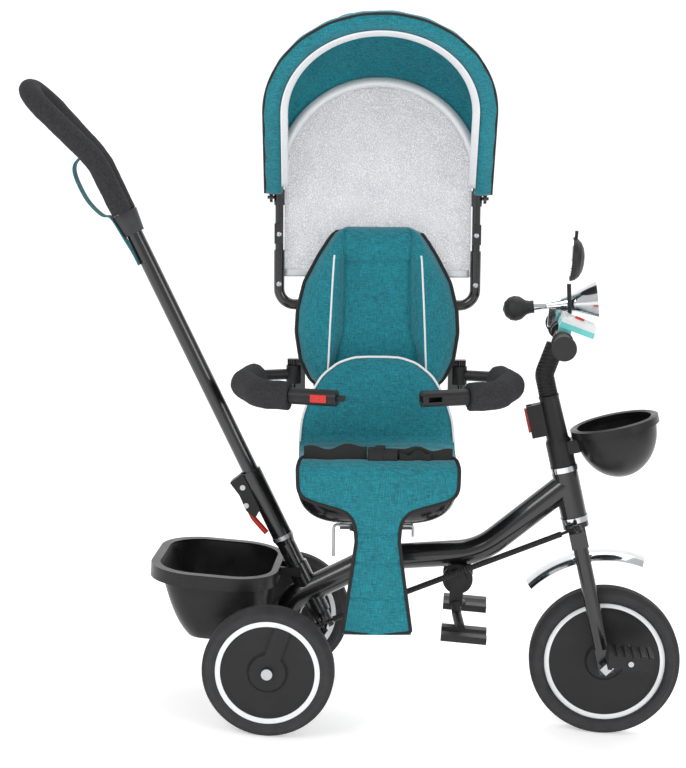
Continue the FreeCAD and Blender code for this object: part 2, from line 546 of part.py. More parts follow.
# ---- steering link from the push bar's crank arm to the fork ----------------------------------------
link_front = steer.multVec(Vector(0, -size("link_side"), crown_low + 34))
link_rear = push.multVec(Vector(0, -size("link_side"), -51.5))
run = link_rear - link_front
link_axis = Vector(run).normalize()
link_turn = Rotation(Vector(0, 0, 1), run)
core = primitive("Cylinder", "link_core", Placement(link_front + link_axis * 7, link_turn), Radius="link_radius")
core.Height = run.Length - 15
eye_spots = [at(steer, 0, -size("link_side"), crown_low + 31),
             Placement(link_rear - push.Rotation.multVec(Vector(0, 0, 3)), push.Rotation)]
eyes = []
for number, spot in enumerate(eye_spots):
    ring = rod(f"eye_{number}", spot, "8.5" if number == 0 else "11", "6")
    hole = rod(f"eye_hole_{number}", spot.multiply(Placement(Vector(0, 0, -2), Rotation())),
               "4 + spin_gap" if number == 0 else "4 + 2.5", "12")
    eyes.append(cut(f"eyelet_{number}", ring, hole))
link_body = fused("link_blank", core, *eyes)
link_clear = fused("link_clear", *(rod(f"stud_room_{number}", spot.multiply(Placement(Vector(0, 0, -4), Rotation())),
                                       "4 + spin_gap", "16") for number, spot in enumerate(eye_spots)))
cover = primitive("Cylinder", "link_cover", Placement(link_front + link_axis * 26, link_turn), Radius="link_sleeve")
cover.Height = run.Length - 50
node("steering_link", fused("link_set", cut("link_rod_cut", link_body, link_clear), cover))

# ---- rear basket -------------------------------------------------------------------------------------
back, front = size("basket_back"), size("basket_front")
half, floor, top = size("basket_half"), size("basket_floor"), size("basket_top")
basket_levels = [((back + 58, -half + 34), (front - 14, half - 34), 26, floor),
                 ((back + 36, -half + 14), (front - 8, half - 14), 36, floor + 34),
                 ((back + 14, -half + 4), (front - 2, half - 4), 46, top - 30),
                 ((back, -half), (front, half), 66, top - 1.2)]
basket_tub = tray(basket_levels, size("basket_wall"))
thick = size("basket_wall")
rim_outer = Part.Face(rounded_rectangle((back - 12, -half - 12), (front + 8, half + 12), 78, top - 22))
lip = thick + 0.6
rim_hole = Part.Face(rounded_rectangle((back + lip, -half + lip), (front - lip, half - lip), 66 - lip, top - 30))
skirt_hole = Part.Face(rounded_rectangle((back - 12 + thick, -half - 12 + thick),
                                         (front + 8 - thick, half + 12 - thick), 78 - thick, top - 24))
rim = rim_outer.extrude(Vector(0, 0, 22)).cut(rim_hole.extrude(Vector(0, 0, 40)))
rim = rim.cut(skirt_hole.extrude(Vector(0, 0, 24 - thick)))
push_way = Part.makeCylinder(size("push_socket") + 1.5, 400, Vector(0, 0, -100))
push_way.Placement = push
basket = basket_tub.fuse(rim).cut(push_way)
for low in (-size("push_socket") - 6.2, size("push_socket") + 0.2):
    basket = basket.fuse(Part.makeBox(38, 6, 14, Vector(front + 6, low, top - 15)))
node("rear_basket", shaped("basket", basket))

# ---- footrests: a clamp under the main tube and a folding leg with its platform on each side -----------
rest_spot = Placement(Vector(290, 0, 245), Rotation())
tube_room = shaped("tube_room", swept(main_points, [110, 90, 40], size("main_tube")))
clamp_pieces = [box("rest_bracket", rest_spot, ("-14", "-25", "-10"), ("28", "50", "34"))]
for side, low in (("right", -28), ("left", 22)):
    clamp_pieces.append(rod(f"rest_disc_{side}", at(rest_spot, 0, low, 0, ALONG_Y), "25", "6"))
clamp_pieces.append(rod("rest_pin", at(rest_spot, 0, -33.8, 0, ALONG_Y), "4", "67.6"))
node("footrest_bracket", cut("bracket_trim", fused("bracket_blank", *clamp_pieces), tube_room))
for side, way in (("right", -1), ("left", 1)):
    pieces = [rod(f"leg_hub_{side}", at(rest_spot, 0, min(way * 28.3, way * 33.3), 0, ALONG_Y), "15", "5"),
              box(f"leg_yoke_{side}", rest_spot, (-11, min(way * 28.3, way * 33.3), -44), ("22", "5", "44")),
              shaped(f"leg_{side}", swept([(0, way * 31, -36), (3, way * 33, -56), (12, way * 82, -70)], 13, 8),
                     rest_spot),
              box(f"leg_step_{side}", rest_spot, (-20, min(way * 62, way * 128), -78), ("74", "66", "11"))]
    pin_room = rod(f"rest_hole_{side}", at(rest_spot, 0, -50, 0, ALONG_Y), "4 + spin_gap", "100")
    groove = rod(f"step_groove_{side}", at(rest_spot, -30, way * 95, -49, ALONG_X), "22", "100")
    node(f"footrest_{side}", cut(f"footrest_cut_{side}", fused(f"footrest_set_{side}", *pieces),
                                 fused(f"footrest_room_{side}", pin_room, groove)))

# ---- seat: swivel plate and uprights, shell, cushions, belt -------------------------------------------
half_seat = size("seat_half")
swivel = rod("swivel_plate", at(seat, z=47.3), "52", "6")
spigot = rod("spigot", at(seat, z=24), "8 - spin_gap", "26")
riser = box("seat_riser", seat, ("-60", "-50", "52"), ("120", "100", "shell_low - 52"))
tube_y = size("hoop_y")
hoop = size("hoop_half")
spine = box("seat_spine", seat, ("-20", "40", "60"), ("40", "hoop_y - 40", "8"))
post = box("seat_back_post", seat, ("-20", "hoop_y - 7", "60"), ("40", "8", "350"))
upright_points = [(-hoop, tube_y, 497), (-hoop, tube_y, 405), (hoop, tube_y, 405), (hoop, tube_y, 497)]
upright_form = swept(upright_points, 26, size("frame_tube"))
for way in (-1, 1):
    upright_form = upright_form.cut(Part.makeCylinder(size("hoop_tube") + 0.05, 80, Vector(way * hoop, tube_y, 432)))
uprights = shaped("uprights", upright_form, seat)
hooks = [box(f"lever_hook_{side}", seat, (x, -60.5, 52), ("8", "20", "14")) for side, x in (("right", 32), ("left", -44))]
hook_room = shaped("hook_room", Part.makeCylinder(2.5 + size("spin_gap"), 120, Vector(-60, -56, 61), ABOUT_X), seat)
seat_pieces = [swivel, spigot, riser, spine, post, uprights, *hooks]
for side, way in (("left", -1), ("right", 1)):
    px, py, pz = way * size("arm_pivot_x"), size("arm_pivot_y"), size("arm_height")
    lugs = Part.makeBox(30, 16, 52, Vector(px - 15 - way * 5, py - 2, pz - 26))
    lugs = lugs.cut(Part.makeCylinder(12.6, 30.8, Vector(px, py, pz - 15.4)))
    lugs = lugs.cut(Part.makeBox(60, 24, 30.8, Vector(px if way > 0 else px - 60, py - 12, pz - 15.4)))
    pin = Part.makeCylinder(4, 50, Vector(px, py, pz - 25))
    strut_low = min(way * 15, way * (size("arm_pivot_x") - 10))
    strut = Part.makeBox(size("arm_pivot_x") - 25, 8, 16, Vector(strut_low, tube_y - 7, pz + 16))
    link = Part.makeBox(12, tube_y - py + 1, 10, Vector(way * (size("arm_pivot_x") - 16) - 6, py, pz + 16))
    seat_pieces.append(shaped(f"arm_bracket_{side}", lugs.fuse(pin).fuse(strut).fuse(link), seat))
node("seat_frame", cut("seat_frame_cut", fused("seat_frame_set", *seat_pieces), hook_room))

shell_levels = [((-78, -86), (78, 30), 40, size("shell_low")),
                ((-116, -132), (116, 50), 56, size("shell_low") + 22),
                ((-half_seat, -size("seat_front")), (half_seat, 62), 66, size("shell_rim"))]
shell_room = tray(shell_levels, 4)
cushion_levels = [((-half_seat + 12, -size("seat_front") + 12), (half_seat - 12, 44), 50, 118),
                  ((-half_seat + 4.6, -size("seat_front") + 5), (half_seat - 4.6, 50), 60, size("shell_rim") - 1),
                  ((-half_seat + 2, -size("seat_front") - 6), (half_seat - 2, 50), 60, size("shell_rim") + 2),
                  ((-half_seat + 10, -size("seat_front") + 2), (half_seat - 10, 44), 56, size("cushion_top"))]
lower_pad = Part.makeLoft([rounded_rectangle(*level) for level in cushion_levels[2:]], True, False)
inner_pad = Part.makeLoft([rounded_rectangle(*level) for level in cushion_levels[:2]], True, False)
seat_cushion = lower_pad.fuse(Part.makeBox(200, 150, 40, Vector(-100, -110, 112)))
seat_cushion = seat_cushion.cut(shell_room)

# padded back: an upright pad leaning back a little, with the raised lower pad in front of it
lean = math.radians(8)


def back_pad(outline_points, front_y, thickness, base):
    """A slab standing on the seat, leaning back, with a rounded outline."""
    curve = Part.BSplineCurve()
    curve.interpolate([Vector(x, 0, z - base) for x, z in outline_points], PeriodicFlag=True)
    face = Part.Face(Part.Wire(curve.toShape()))
    slab = face.extrude(Vector(0, thickness, 0))
    slab.translate(Vector(0, front_y, base))
    slab.rotate(Vector(0, front_y, base), ABOUT_X, -math.degrees(lean))
    return slab


right_side = [(40, 537), (74, 528), (98, 490), (122, 445), (133, 400), (135, 362), (128, 318), (112, 285), (60, 262)]
left_side = [(-x, z) for x, z in reversed(right_side)]
back_shape = back_pad(right_side + left_side, 28, 32, 262)
node("back_cushion", shaped("back_cushion_form", back_shape, seat))
shell_side = [(34, 520), (66, 510), (88, 478), (110, 440), (120, 400), (122, 362), (116, 318), (100, 240),
              (84, 190), (40, 180)]
shell_other = [(-x, z) for x, z in reversed(shell_side)]
back_board = back_pad(shell_side + shell_other, 51, 5, 180)
bucket = shell_room.fuse(back_board).fuse(Part.makeBox(160, 14, 22, Vector(-80, 46, 126)))
bucket = bucket.fuse(Part.makeBox(160, 6, 40, Vector(-80, 49, 146)))
node("seat_shell", shaped("shell", bucket, seat))
lumbar_side = [(30, 326), (62, 316), (90, 296), (112, 262), (124, 225), (126, 196), (118, 182), (60, 180)]
lumbar_other = [(-x, z) for x, z in reversed(lumbar_side)]
lumbar = back_pad(lumbar_side + lumbar_other, -2, 26, 180)
liner = seat_cushion.fuse(lumbar.cut(back_shape)).cut(bucket)
node("seat_cushion", shaped("cushion", liner, seat))

flap = plate("flap", at(seat, 0, -size("seat_front") - 12, 0, Rotation(ABOUT_X, 90)), [
    ("-35", "cushion_top - 20"), ("-33", "120"), ("-53", "-92"), ("53", "-92"), ("33", "120"),
    ("35", "cushion_top - 20")], "5")
node("leg_flap", flap)
belt_y = -size("seat_front") + 14
belt_z = size("cushion_top") + 0.5
node("lap_belt", fused("belt_set", box("belt_left", seat, (-112, belt_y, belt_z), ("98", "1.6", "25")),
                       box("belt_right", seat, (28, belt_y, belt_z), ("84", "1.6", "25")),
                       box("buckle", seat, (-17.8, belt_y - 4, belt_z - 0.2), ("49.6", "10", "30"))))
lever_points = [(-70, -56, 8), (-70, -56, 61), (60, -56, 61), (60, -56, 42)]
node("swivel_lever", shaped("lever_wire", swept(lever_points, 6, 2.5), seat))

# ---- guard arms: foam on a bent tube, a clip on one end and a socket on the other -----------------------
arm_z = size("arm_height")
arm_tip = Vector(66, -168.6, arm_z)
clip_angle = 16.5
clip_way = Vector(math.cos(math.radians(clip_angle)), math.sin(math.radians(clip_angle)), 0)
for side, way in (("left", -1), ("right", 1)):
    px, py = way * size("arm_pivot_x"), size("arm_pivot_y")
    corner, tube_end, foam_end = (arm_tip + clip_way * along for along in (126, 48, 78))
    run = [(abs(px) + 8, py), (200, py - 16), (219, -34), (corner.x, corner.y)]
    arm_points = [(way * x, y, arm_z) for x, y in run] + [(way * tube_end.x, tube_end.y, arm_z)]
    core = swept(arm_points, [22, 60, 38], size("arm_tube"))
    start = Vector(*arm_points[1]) + (Vector(*arm_points[2]) - Vector(*arm_points[1])) * 0.2
    foam = swept([tuple(start), *arm_points[2:4], (way * foam_end.x, foam_end.y, arm_z)], [60, 38],
                 size("arm_foam"))
    node(f"arm_foam_{side}", shaped(f"foam_{side}", foam.cut(core), seat))
    knuckle = Part.makeCylinder(12, 30, Vector(px, py, arm_z - 15))
    pin_room = Part.makeCylinder(4 + size("spin_gap"), 40, Vector(px, py, arm_z - 20))
    clip = Part.makeCylinder(13, 77, Vector(), ABOUT_X)
    if side == "left":
        clip = clip.fuse(Part.makeBox(13, 13, 8, Vector(-12, -6.5, -4)))
        clip = clip.cut(Part.makeBox(26.6, 12, 12.6, Vector(13.7, 4, -6.3)))
    else:
        clip = clip.cut(Part.makeBox(34, 17, 10, Vector(-2, -8.5, -5)))
        clip = clip.cut(Part.makeBox(22, 20, 8, Vector(8, -20, -4)))
    clip_turn = clip_angle if side == "right" else 180 - clip_angle
    clip.Placement = Placement(Vector(way * arm_tip.x, arm_tip.y, arm_z), Rotation(ABOUT_Z, clip_turn))
    arm = core.fuse(knuckle).cut(pin_room).fuse(clip)
    node(f"guard_arm_{side}", shaped(f"arm_{side}", arm, seat))
button = Part.makeBox(26, 7, 12, Vector(14, 7.5, -6))
button.Placement = Placement(Vector(-arm_tip.x, arm_tip.y, arm_z), Rotation(ABOUT_Z, 180 - clip_angle))
node("clip_button", shaped("red_button", button, seat))

# ---- canopy: rear hoop with the mesh panel, folding front bow and the cloth hood ------------------------
arch_base = size("pivot_height") + 27


def hoop_path(half_width, low, straight):
    """Two uprights and a half circle, in the XZ plane."""
    left = Vector(-half_width, 0, low)
    right = Vector(half_width, 0, low)
    top_left = Vector(-half_width, 0, straight)
    top_right = Vector(half_width, 0, straight)
    crown = Vector(0, 0, straight + half_width)
    return Part.Wire([Part.LineSegment(left, top_left).toShape(), Part.Arc(top_left, crown, top_right).toShape(),
                      Part.LineSegment(top_right, right).toShape()])


def hoop_tube(half_width, low, straight, radius):
    path = hoop_path(half_width, low, straight)
    circle = Part.Wire(Part.Circle(Vector(-half_width, 0, low), ABOUT_Z, radius).toShape())
    return path.makePipeShell([circle], True, False)


rear_hoop = hoop_tube(hoop, 460, arch_base, size("hoop_tube"))
rear_hoop.translate(Vector(0, tube_y, 0))
pivot_z = size("pivot_height")
pivots = []
for way in (-1, 1):
    ring = Part.makeCylinder(9, 26, Vector(way * hoop, tube_y, pivot_z - 13))
    pin_start = Vector(way * (hoop + 8), tube_y, pivot_z)
    pin = Part.makeCylinder(3, 12, pin_start, Vector(way, 0, 0))
    knob = Part.makeBox(14, 20, 34, Vector(way * (hoop + 1) - 7, tube_y - 12, 508))
    rear_hoop = rear_hoop.fuse(ring.fuse(pin).fuse(knob))
node("canopy_rear_hoop", shaped("rear_hoop", rear_hoop, seat))
mesh_half = hoop - size("hoop_tube") - 1
mesh_path = hoop_path(mesh_half, 452, arch_base)
mesh_low = Part.LineSegment(Vector(mesh_half, 0, 452), Vector(-mesh_half, 0, 452)).toShape()
mesh_sheet = Part.Face(Part.Wire([*mesh_path.Edges, mesh_low])).extrude(Vector(0, 1.5, 0))
mesh_sheet.translate(Vector(0, tube_y + size("frame_tube") + 1, 0))
node("canopy_mesh", shaped("mesh_panel", mesh_sheet, seat))

fold = Placement(Vector(0, tube_y, pivot_z), Rotation(ABOUT_X, size("bow_tilt")))
bow_half = size("bow_half")
bow = hoop_tube(bow_half, 6, size("bow_length") - bow_half, 4)
for way in (-1, 1):
    eye = Part.makeCylinder(9, 5, Vector(way * bow_half - 2.5, 0, 0), Vector(1, 0, 0))
    eye = eye.cut(Part.makeCylinder(3 + size("spin_gap"), 20, Vector(way * bow_half - 10, 0, 0), Vector(1, 0, 0)))
    bow = bow.fuse(eye)
bow = bow.cut(Part.makeCylinder(3 + size("spin_gap"), 400, Vector(-200, 0, 0), Vector(1, 0, 0)))
node("canopy_bow", shaped("front_bow", bow, seat.multiply(fold)))


def arch_band(half_width, length, tilt, low):
    """One rib of the cloth: an arch as thick as the cloth, on a plane through the fold's pivot."""
    cloth = size("canopy_cloth")
    outer = hoop_path(half_width, low, length - half_width)
    inner = hoop_path(half_width - cloth, low, length - half_width)
    ends = [Part.LineSegment(Vector(way * half_width, 0, low), Vector(way * (half_width - cloth), 0, low)).toShape()
            for way in (1, -1)]
    band = Part.Wire(Part.__sortEdges__([*outer.Edges, ends[0], *inner.Edges, ends[1]]))
    band.rotate(Vector(), ABOUT_X, tilt)
    band.translate(Vector(0, tube_y, pivot_z))
    return band


cloth = size("canopy_cloth")
ribs = [arch_band(bow_half + 8, 212, -4, 8), arch_band(bow_half + 9, 316, 15, 10),
        arch_band(bow_half + 8.5, size("bow_length") + 9, size("bow_tilt"), 12)]
hood = Part.makeLoft(ribs, True, True)
node("canopy_hood", shaped("hood", hood, seat))

doc.recompute()
faults = [thing.Name for thing in doc.Objects if "Invalid" in thing.State or "Error" in thing.State]
if faults:
    raise RuntimeError("failed objects: " + ", ".join(faults))
os.makedirs("parts", exist_ok=True)
for label, thing in nodes.items():
    shape = thing.Shape
    if shape.isNull() or not shape.isValid() or shape.Volume <= 0:
        raise RuntimeError(label + " is not a sound solid")
    shape.exportStep(os.path.join("parts", label + ".step"))
print(len(nodes), "nodes")
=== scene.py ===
import math

import bmesh
import bpy
from mathutils import Matrix, Vector


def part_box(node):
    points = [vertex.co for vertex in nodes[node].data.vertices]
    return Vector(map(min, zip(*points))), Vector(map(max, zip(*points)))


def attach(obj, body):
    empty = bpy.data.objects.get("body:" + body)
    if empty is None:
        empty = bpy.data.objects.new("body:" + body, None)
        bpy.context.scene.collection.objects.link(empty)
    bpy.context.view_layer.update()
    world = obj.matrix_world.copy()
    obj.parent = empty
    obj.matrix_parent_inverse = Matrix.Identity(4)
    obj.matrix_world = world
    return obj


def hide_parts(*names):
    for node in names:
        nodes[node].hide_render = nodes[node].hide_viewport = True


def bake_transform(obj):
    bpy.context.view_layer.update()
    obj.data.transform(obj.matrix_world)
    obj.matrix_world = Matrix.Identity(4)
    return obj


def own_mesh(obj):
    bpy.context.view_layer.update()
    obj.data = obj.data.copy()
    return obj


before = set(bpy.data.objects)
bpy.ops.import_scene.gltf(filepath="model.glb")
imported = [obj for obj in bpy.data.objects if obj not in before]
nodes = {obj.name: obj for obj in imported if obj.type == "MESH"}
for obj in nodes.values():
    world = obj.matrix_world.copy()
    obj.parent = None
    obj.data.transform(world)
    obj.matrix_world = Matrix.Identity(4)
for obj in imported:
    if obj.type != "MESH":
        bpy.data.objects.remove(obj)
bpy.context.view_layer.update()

# Camera: level with the seat and a few metres to the tricycle's right, looking slightly down, with a
# long lens, so the wheels stand one behind the other.
pitch, yaw, roll = (math.radians(angle) for angle in (9.5, -3.2, 4.5))
ahead = Vector((math.sin(yaw) * math.cos(pitch), math.cos(yaw) * math.cos(pitch), -math.sin(pitch)))
level = Vector((math.cos(yaw), -math.sin(yaw), 0))
upright = level.cross(ahead)
across = level * math.cos(roll) + upright * math.sin(roll)
upward = upright * math.cos(roll) - level * math.sin(roll)
lens = bpy.data.cameras.new("camera")
lens.lens = 93.65
lens.sensor_width = 36
camera = bpy.data.objects.new("camera", lens)
camera.matrix_world = Matrix((across, upward, -ahead)).transposed().to_4x4()
camera.location = (0.2551, -3.2459, 1.0942)
bpy.context.scene.collection.objects.link(camera)
bpy.context.scene.camera = camera

# Studio: a white paper sweep that curves up behind the tricycle, an even white surround, and three soft
# boxes that put long highlights on the black tubes.
profile = [(-9, 0), (3.2, 0), *((3.2 + 3 * math.sin(turn), 3 - 3 * math.cos(turn))
                              for turn in (math.radians(6 * step) for step in range(1, 16))), (6.2, 12)]
sweep = bpy.data.meshes.new("studio_sweep")
sweep.from_pydata([(side, depth, rise - 0.0005) for depth, rise in profile for side in (-12, 12)], [],
                  [(2 * step, 2 * step + 1, 2 * step + 3, 2 * step + 2) for step in range(len(profile) - 1)])
sweep.shade_smooth()
floor = bpy.data.objects.new("studio_sweep", sweep)
bpy.context.scene.collection.objects.link(floor)
paper = bpy.data.materials.new("paper_white")
paper.use_nodes = True
paper_shader = paper.node_tree.nodes["Principled BSDF"]
paper_shader.inputs["Base Color"].default_value = (0.86, 0.86, 0.86, 1)
paper_shader.inputs["Roughness"].default_value = 0.9
paper_shader.inputs["Emission Color"].default_value = (1, 1, 1, 1)
paper_shader.inputs["Emission Strength"].default_value = 0.42
sweep.materials.append(paper)
world = bpy.data.worlds.new("studio")
world.use_nodes = True
world.node_tree.nodes["Background"].inputs["Color"].default_value = (1, 1, 1, 1)
world.node_tree.nodes["Background"].inputs["Strength"].default_value = 0.62
bpy.context.scene.world = world
bpy.context.scene.view_settings.view_transform = "Standard"
for name, place, aim, size, power in (
        ("key_light", (-1.6, -2.6, 2.6), (0.15, 0, 0.5), 1.6, 42),
        ("fill_light", (2.6, -1.9, 1.7), (0.3, 0, 0.4), 1.4, 22),
        ("top_light", (0.3, 0.9, 3.0), (0.2, 0, 0.6), 2.0, 30)):
    glow = bpy.data.lights.new(name, "AREA")
    glow.size = size
    glow.energy = power
    lamp = bpy.data.objects.new(name, glow)
    lamp.location = place
    lamp.rotation_euler = (Vector(aim) - Vector(place)).to_track_quat("-Z", "Y").to_euler()
    bpy.context.scene.collection.objects.link(lamp)


# Tyres: one-piece foam rubber rings, matt and almost black, with fine ribs moulded round the tread, a faint
# bloom of dust, and a painted highlight: a paler band round the shoulders.
class Value:
    """A socket in a material's node tree; arithmetic on it adds the Math nodes."""

    def __init__(self, tree, socket):
        self.tree = tree
        self.socket = socket

    def node(self, kind, settings=None, sockets=None, output=0):
        """Any node of the tree, by type, with its settings first and then its sockets."""
        made = self.tree.nodes.new(kind)
        for key, value in (settings or {}).items():
            if key == "stops":
                for number, (place, colour) in enumerate(value):
                    ramp = made.color_ramp.elements
                    stop = ramp[number] if number < 2 else ramp.new(place)
                    stop.position = place
                    stop.color = colour
            else:
                setattr(made, key, value)
        for key, value in (sockets or {}).items():
            if isinstance(value, Value):
                self.tree.links.new(value.socket, made.inputs[key])
            else:
                made.inputs[key].default_value = value
        return Value(self.tree, made.outputs[output])

    def math(self, operation, first, second=0.0):
        return self.node("ShaderNodeMath", {"operation": operation}, {0: first, 1: second})

    def __add__(self, other):
        return self.math("ADD", self, other)

    def __sub__(self, other):
        return self.math("SUBTRACT", self, other)

    def __rsub__(self, other):
        return self.math("SUBTRACT", other, self)

    def __mul__(self, other):
        return self.math("MULTIPLY", self, other)

    def __truediv__(self, other):
        return self.math("DIVIDE", self, other)

    def __pow__(self, other):
        return self.math("POWER", self, other)

    def __abs__(self):
        return self.math("ABSOLUTE", self)

    __radd__ = __add__
    __rmul__ = __mul__

    def band(self, low, high, soft):
        """1 between low and high, with edges that soft wide."""
        rise = self.node("ShaderNodeMapRange", {}, {0: self, 1: low - soft, 2: low + soft})
        fall = self.node("ShaderNodeMapRange", {}, {0: self, 1: high + soft, 2: high - soft})
        return rise * fall

    def noise(self, scale, detail=2.0, stretch=(1, 1, 1)):
        """Noise on this vector, as a number."""
        spread = self.node("ShaderNodeMapping", {}, {"Vector": self, "Scale": stretch})
        return self.node("ShaderNodeTexNoise", {}, {"Vector": spread, "Scale": scale, "Detail": detail})

    def blend(self, dark, light):
        """This number as the share of light in dark."""
        return self.node("ShaderNodeMix", {"data_type": "RGBA"}, {0: self, 6: (*dark, 1), 7: (*light, 1)}, 2)


class Finish:
    """One material: its shader, and the object coordinates that its patterns read."""

    def __init__(self, name, colour, **numbers):
        self.material = bpy.data.materials.new(name)
        self.material.use_nodes = True
        self.tree = self.material.node_tree
        self.shader = self.tree.nodes["Principled BSDF"]
        self.set(Base_Color=(*colour, 1), **numbers)
        start = Value(self.tree, None)
        self.place = start.node("ShaderNodeTexCoord", output=3)
        split = self.place.node("ShaderNodeSeparateXYZ", {}, {0: self.place})
        self.x, self.y, self.z = (Value(self.tree, out) for out in split.socket.node.outputs)

    def set(self, **sockets):
        """Sets or links sockets of the shader; an underscore stands for a space."""
        for key, value in sockets.items():
            socket = self.shader.inputs[key.replace("_", " ")]
            if isinstance(value, Value):
                self.tree.links.new(value.socket, socket)
            else:
                socket.default_value = value
        return self

    def relief(self, height, distance, strength=1.0):
        """A bump of that height in metres."""
        self.set(Normal=height.node("ShaderNodeBump", {}, {"Height": height, "Distance": distance,
                                                          "Strength": strength}))
        return self

    def coat(self, *names):
        """Puts the material on CAD nodes."""
        for name in names:
            nodes[name].data.materials.clear()
            nodes[name].data.materials.append(self.material)
        return self


def from_axle(finish, hub):
    """Distance from a wheel's axle, in metres."""
    return ((finish.x - hub[0]) ** 2 + (finish.z - hub[1]) ** 2) ** 0.5


def tyre_rubber(name, hub, radius):
    tyre = Finish(name, (0.03, 0.03, 0.032), Roughness=0.82, Specular_IOR_Level=0.3)
    reach = from_axle(tyre, hub)
    grain = tyre.place.noise(900, 3)
    ribs = reach.math("SINE", reach * 1400)
    # The band near the outer edge holds the moulded ribs and is painted paler, a painted highlight on the rounded
    # shoulders; the noise over the whole tyre is dust.
    shoulder_ribs_and_highlight = reach.band(radius - 0.022, radius - 0.008, 0.002)
    dust = tyre.place.noise(60, 4)
    tyre.set(Base_Color=(dust * 0.6 + shoulder_ribs_and_highlight * 0.25).blend((0.016, 0.016, 0.017), (0.06, 0.06, 0.063)))
    tyre.relief(grain * 0.6 + ribs * shoulder_ribs_and_highlight * 0.5, 0.0006)
    return tyre


front_hub = [(low + high) / 2 for low, high in zip(*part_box("front_wheel_tyre"))]
rear_hub = [(low + high) / 2 for low, high in zip(*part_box("rear_wheel_right_tyre"))]
front_radius = (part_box("front_wheel_tyre")[1][2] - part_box("front_wheel_tyre")[0][2]) / 2
rear_radius = (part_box("rear_wheel_right_tyre")[1][2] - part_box("rear_wheel_right_tyre")[0][2]) / 2
tyre_rubber("front_tyre_rubber", (front_hub[0], front_hub[2]), front_radius).coat("front_wheel_tyre")
tyre_rubber("rear_tyre_rubber", (rear_hub[0], rear_hub[2]), rear_radius).coat(
    "rear_wheel_left_tyre", "rear_wheel_right_tyre")

# Rim rings: white polished plastic bands snapped over the edge of each wheel disc.
gloss_white = Finish("gloss_white_plastic", (0.82, 0.83, 0.84), Roughness=0.18, Coat_Weight=0.3)
gloss_white.set(Roughness=gloss_white.place.noise(40, 3) * 0.12 + 0.14)
gloss_white.relief(gloss_white.place.noise(220, 2), 0.0002, 0.3)
gloss_white.coat("front_wheel_ring", "rear_wheel_left_ring", "rear_wheel_right_ring")


# Wheel discs and the other black mouldings: satin black plastic with a fine spark-eroded grain, a
# little paler where it has rubbed.
def black_moulding(name, colour=(0.012, 0.012, 0.013), rough=0.42, grain=1400):
    plastic = Finish(name, colour, Roughness=rough, Specular_IOR_Level=0.32)
    rub = plastic.place.noise(34, 4)
    plastic.set(Base_Color=(rub ** 3 * 1.4).blend(colour, (0.02, 0.02, 0.022)),
                Roughness=rub * 0.16 + (rough - 0.08))
    return plastic.relief(plastic.place.noise(grain, 2), 0.0003, 0.5)


moulded_black = black_moulding("satin_black_plastic")
moulded_black.coat("front_wheel_disc", "rear_wheel_left_disc", "rear_wheel_right_disc", "footrest_bracket",
                   "footrest_left", "footrest_right", "pedal_left", "pedal_right", "push_clamp_housing",
                   "stem_collar", "guard_arm_left", "guard_arm_right", "mirror_stalk", "mirror_shell")
black_moulding("basket_black_plastic", (0.009, 0.009, 0.01), 0.3, 700).coat("rear_basket", "front_bowl")
black_moulding("grey_collar_plastic", (0.05, 0.05, 0.055), 0.5).coat("push_collar")
black_moulding("polished_black_plastic", (0.006, 0.006, 0.007), 0.16, 400).coat("seat_shell")

# Steel tubes: the welded frame, fork, push bar and hoops, powder coated in gloss black.  The coat has a
# slight orange-peel ripple.
gloss_black = Finish("gloss_black_powder_coat", (0.008, 0.008, 0.009), Roughness=0.2, Coat_Weight=0.5,
                     Coat_Roughness=0.08)
gloss_black.set(Roughness=gloss_black.place.noise(28, 4) * 0.14 + 0.14)
gloss_black.relief(gloss_black.place.noise(420, 2), 0.00025, 0.35)
gloss_black.coat("main_frame", "fork", "push_lower_tube", "push_upper_tube", "handlebar", "seat_frame",
                 "canopy_rear_hoop", "canopy_bow")

# Bright metal: zinc-plated axle, crank and rivets; chromed mudguard, horn and head bearing rings.
zinc = Finish("zinc_plate", (0.52, 0.53, 0.55), Roughness=0.34, Metallic=1.0)
zinc.set(Roughness=zinc.place.noise(160, 3, (1, 6, 1)) * 0.25 + 0.24)
zinc.relief(zinc.place.noise(700, 2), 0.0002, 0.4)
zinc.coat("rear_axle", "crankshaft", "push_bar_trim", "swivel_lever")
chrome = Finish("bright_chrome", (0.74, 0.75, 0.77), Roughness=0.08, Metallic=1.0)
chrome.set(Roughness=chrome.place.noise(50, 4) * 0.08 + 0.05,
           Base_Color=chrome.place.noise(18, 3).blend((0.62, 0.63, 0.66), (0.84, 0.85, 0.86)))
chrome.relief(chrome.place.noise(90, 2), 0.0002, 0.2)
chrome.coat("head_bearing_cups", "front_mudguard", "horn_bell")
silvered = Finish("mirror_glass_finish", (0.86, 0.87, 0.9), Roughness=0.03, Metallic=1.0)
silvered.set(Roughness=silvered.place.noise(30, 2) * 0.03 + 0.02)
silvered.coat("mirror_glass")

# Red and turquoise mouldings: the clamp levers, the clip's button, the music box and its key.
for name, colour, parts in (
        ("signal_red_plastic", (0.62, 0.02, 0.015), ("stem_clamp_lever", "push_clamp_lever", "clip_button",
                                                    "music_button")),
        ("turquoise_plastic", (0.16, 0.62, 0.6), ("music_box_base",)),
        ("white_case_plastic", (0.78, 0.8, 0.8), ("music_box_cover",))):
    bright = Finish(name, colour, Roughness=0.28)
    bright.set(Roughness=bright.place.noise(70, 3) * 0.15 + 0.2,
               Base_Color=bright.place.noise(35, 3).blend(tuple(0.85 * part for part in colour), colour))
    bright.relief(bright.place.noise(500, 2), 0.0002, 0.3).coat(*parts)

